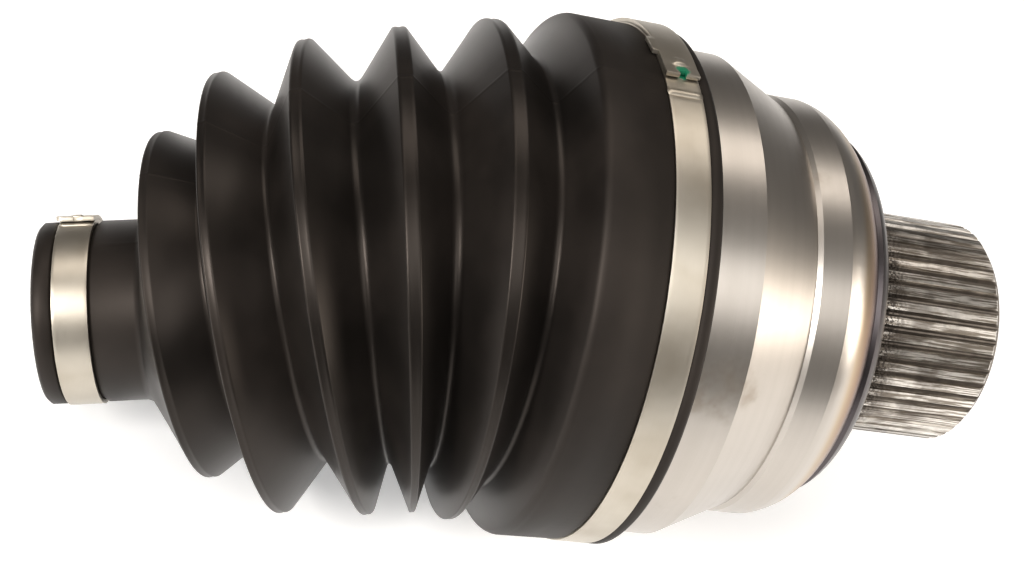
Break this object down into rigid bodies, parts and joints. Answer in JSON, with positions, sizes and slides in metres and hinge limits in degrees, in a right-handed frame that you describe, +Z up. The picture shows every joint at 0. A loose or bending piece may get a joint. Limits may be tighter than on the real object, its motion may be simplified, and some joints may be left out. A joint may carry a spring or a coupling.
{
  "type": "drive shaft",
  "caption": "Wheel end of a drive shaft: splined stub and ball joint housing, pleated rubber boot with two band clamps, and the end of the bar.",
  "frame": {"origin": "centre of the hub shoulder plane on the stub's axis, where the wheel hub stops", "axes": "+X along the stub out of the wheel side, +Z up as the joint bends; the bar end lies towards -X and is bent 15 degrees towards -Z"},
  "size_m": [0.1779, 0.0982, 0.1026],
  "materials": {
    "machined_steel": "turned and ground steel, fine machining lines, bronze to violet heat tint on the collar",
    "ground_steel": "hardened and ground, thin grease film",
    "hardened_steel": "hardened, dark grey",
    "ball_steel": "polished bearing balls",
    "bar_steel": "black phosphated and painted bar, bright splines",
    "spring_steel": "blackened spring steel",
    "polymer_ring": "plain polyamide",
    "boot_rubber": "satin black chloroprene, soft sheen on the folds",
    "stainless_band": "bright rolled stainless strip, fine grain along the band"
  },
  "bodies": {
    "housing": {"outer_race": "machined_steel", "large_clamp": "stainless_band", "boot": "boot_rubber"},
    "shaft": {"shaft_bar": "bar_steel", "inner_race": "ground_steel", "circlip": "spring_steel", "dished_washer": "spring_steel", "thrust_ring": "polymer_ring", "small_clamp": "stainless_band"},
    "cage": {"ball_cage": "hardened_steel", "ball_1": "ball_steel", "ball_4": "ball_steel"},
    "upper_front_ball": {"ball_3": "ball_steel"},
    "upper_back_ball": {"ball_2": "ball_steel"},
    "lower_front_ball": {"ball_5": "ball_steel"},
    "lower_back_ball": {"ball_6": "ball_steel"}
  },
  "joints": [
    {"name": "articulation", "type": "hinge", "parent": "housing", "child": "shaft", "pos_m": [-0.037, 0, 0], "axis": [0, -1, 0], "range_deg": [-62, 32], "deforming": ["boot"]},
    {"name": "cage_turn", "type": "hinge", "parent": "housing", "child": "cage", "pos_m": [-0.037, 0, 0], "axis": [0, -1, 0], "range_deg": [-31, 16]},
    {"name": "upper_back_roll", "type": "hinge", "parent": "housing", "child": "upper_back_ball", "pos_m": [-0.037, 0, 0], "axis": [0, -0.866, 0.5], "range_deg": [-27.2, 14.1]},
    {"name": "upper_front_roll", "type": "hinge", "parent": "housing", "child": "upper_front_ball", "pos_m": [-0.037, 0, 0], "axis": [0, -0.866, -0.5], "range_deg": [-27.2, 14.1]},
    {"name": "lower_front_roll", "type": "hinge", "parent": "housing", "child": "lower_front_ball", "pos_m": [-0.037, 0, 0], "axis": [0, 0.866, -0.5], "range_deg": [-14.1, 27.2]},
    {"name": "lower_back_roll", "type": "hinge", "parent": "housing", "child": "lower_back_ball", "pos_m": [-0.037, 0, 0], "axis": [0, 0.866, 0.5], "range_deg": [-14.1, 27.2]}
  ],
  "couplings": [
    {"joint": "cage_turn", "follows": "articulation", "ratio": 0.5},
    {"joint": "upper_back_roll", "follows": "articulation", "ratio": 0.4365},
    {"joint": "upper_front_roll", "follows": "articulation", "ratio": 0.4365},
    {"joint": "lower_front_roll", "follows": "articulation", "ratio": -0.4365},
    {"joint": "lower_back_roll", "follows": "articulation", "ratio": -0.4365}
  ]
}
